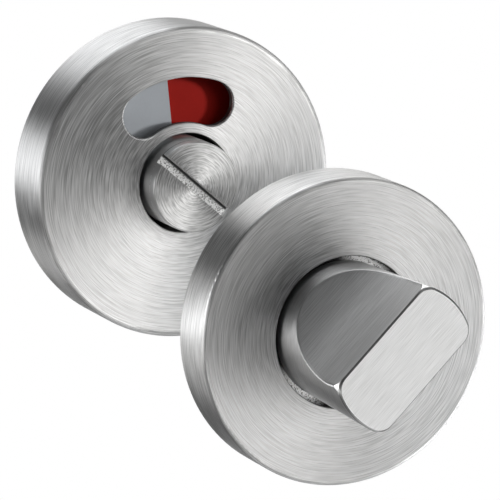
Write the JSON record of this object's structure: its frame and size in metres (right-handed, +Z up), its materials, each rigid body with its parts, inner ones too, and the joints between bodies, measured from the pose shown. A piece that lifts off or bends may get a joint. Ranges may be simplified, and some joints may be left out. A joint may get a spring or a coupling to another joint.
{
  "type": "bathroom thumb turn lock set",
  "caption": "Round satin steel bathroom lock set: an inside rose with a bladed thumb turn, and an outside rose with a coin release and a red and white indicator window.",
  "frame": {"origin": "centre of the indicator half's back, where it meets the door, on the axis of its spindle socket", "axes": "+Z up with the indicator window above the axis, +Y into the door, both roses facing -Y"},
  "size_m": [0.0712, 0.0751, 0.0781],
  "materials": {
    "satin_steel": "satin brushed stainless steel",
    "zinc_steel": "zinc-plated steel",
    "spring_steel": "dark spring steel",
    "nylon": "natural nylon",
    "red_plastic": "matt red",
    "white_plastic": "matt white"
  },
  "bodies": {
    "root": {"indicator_cover": "satin_steel", "indicator_base_plate": "zinc_steel", "fixing_pillars": "zinc_steel", "release_bush": "nylon", "stop_pin": "spring_steel", "turn_cover": "satin_steel", "turn_base_plate": "zinc_steel", "turn_bush": "nylon"},
    "release": {"release_boss": "satin_steel", "indicator_disc": "red_plastic", "vacant_flag": "white_plastic", "release_washer": "spring_steel", "release_spring_washer": "spring_steel", "release_clip": "spring_steel"},
    "turn": {"thumb_turn": "satin_steel", "spindle": "zinc_steel", "spindle_pin": "spring_steel", "turn_washer": "spring_steel", "turn_spring_washer": "spring_steel", "turn_clip": "spring_steel"}
  },
  "joints": [
    {"name": "release_turn", "type": "hinge", "parent": "root", "child": "release", "pos_m": [0, 0, 0], "axis": [0, -1, 0], "range_deg": [-45, 45]},
    {"name": "thumb_turn_swing", "type": "hinge", "parent": "root", "child": "turn", "pos_m": [0.0192, -0.018, -0.02614], "axis": [0, -1, 0], "range_deg": [-38, 52]}
  ]
}
